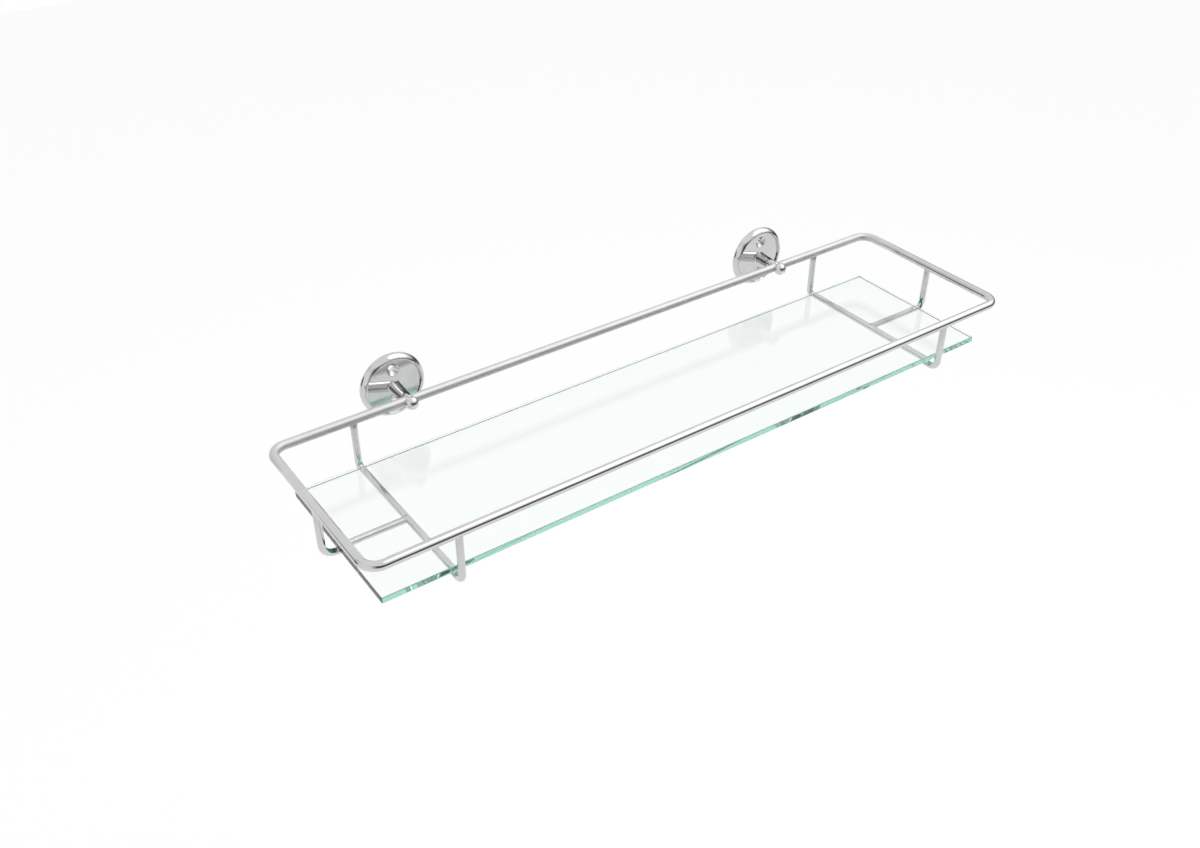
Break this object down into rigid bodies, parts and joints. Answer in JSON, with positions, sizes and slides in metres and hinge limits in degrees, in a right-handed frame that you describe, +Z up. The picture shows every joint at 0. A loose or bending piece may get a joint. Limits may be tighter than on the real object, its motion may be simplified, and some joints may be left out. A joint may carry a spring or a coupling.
{
  "type": "wall shelf",
  "caption": "Wall shelf with a clear glass plate lying loose in a bent-rod gallery cradle, held off the wall by round screw-on roses with short arms and ball ends.",
  "frame": {"origin": "on the wall plane, at the centre of the four wall screw holes", "axes": "+Z up, +Y into the wall, +X along the wall to the right as seen from the room"},
  "size_m": [0.5, 0.157, 0.0611],
  "materials": {
    "rod_chrome": "bright chrome plate over bent and welded steel rod",
    "bracket_chrome": "bright chrome plate over turned and cast metal",
    "zinc_steel": "bright zinc plated steel fixings",
    "clear_glass": "clear float glass with ground, finely arrised edges that look green"
  },
  "bodies": {
    "frame": {"gallery_rail": "rod_chrome", "cradle_wire_left": "rod_chrome", "cradle_wire_right": "rod_chrome", "end_wire_left": "rod_chrome", "end_wire_right": "rod_chrome", "wall_rose_left": "bracket_chrome", "wall_rose_right": "bracket_chrome", "arm_left": "bracket_chrome", "arm_right": "bracket_chrome", "ball_nut_left": "bracket_chrome", "ball_nut_right": "bracket_chrome", "tie_screw_left": "zinc_steel", "tie_screw_right": "zinc_steel", "tie_washer_left": "zinc_steel", "tie_washer_right": "zinc_steel"},
    "glass": {"glass_plate": "clear_glass"}
  },
  "joints": [
    {"name": "glass_lift", "type": "slide", "parent": "frame", "child": "glass", "axis": [0, -0.0797, 0.9968], "range_m": [0, 0.06]}
  ]
}
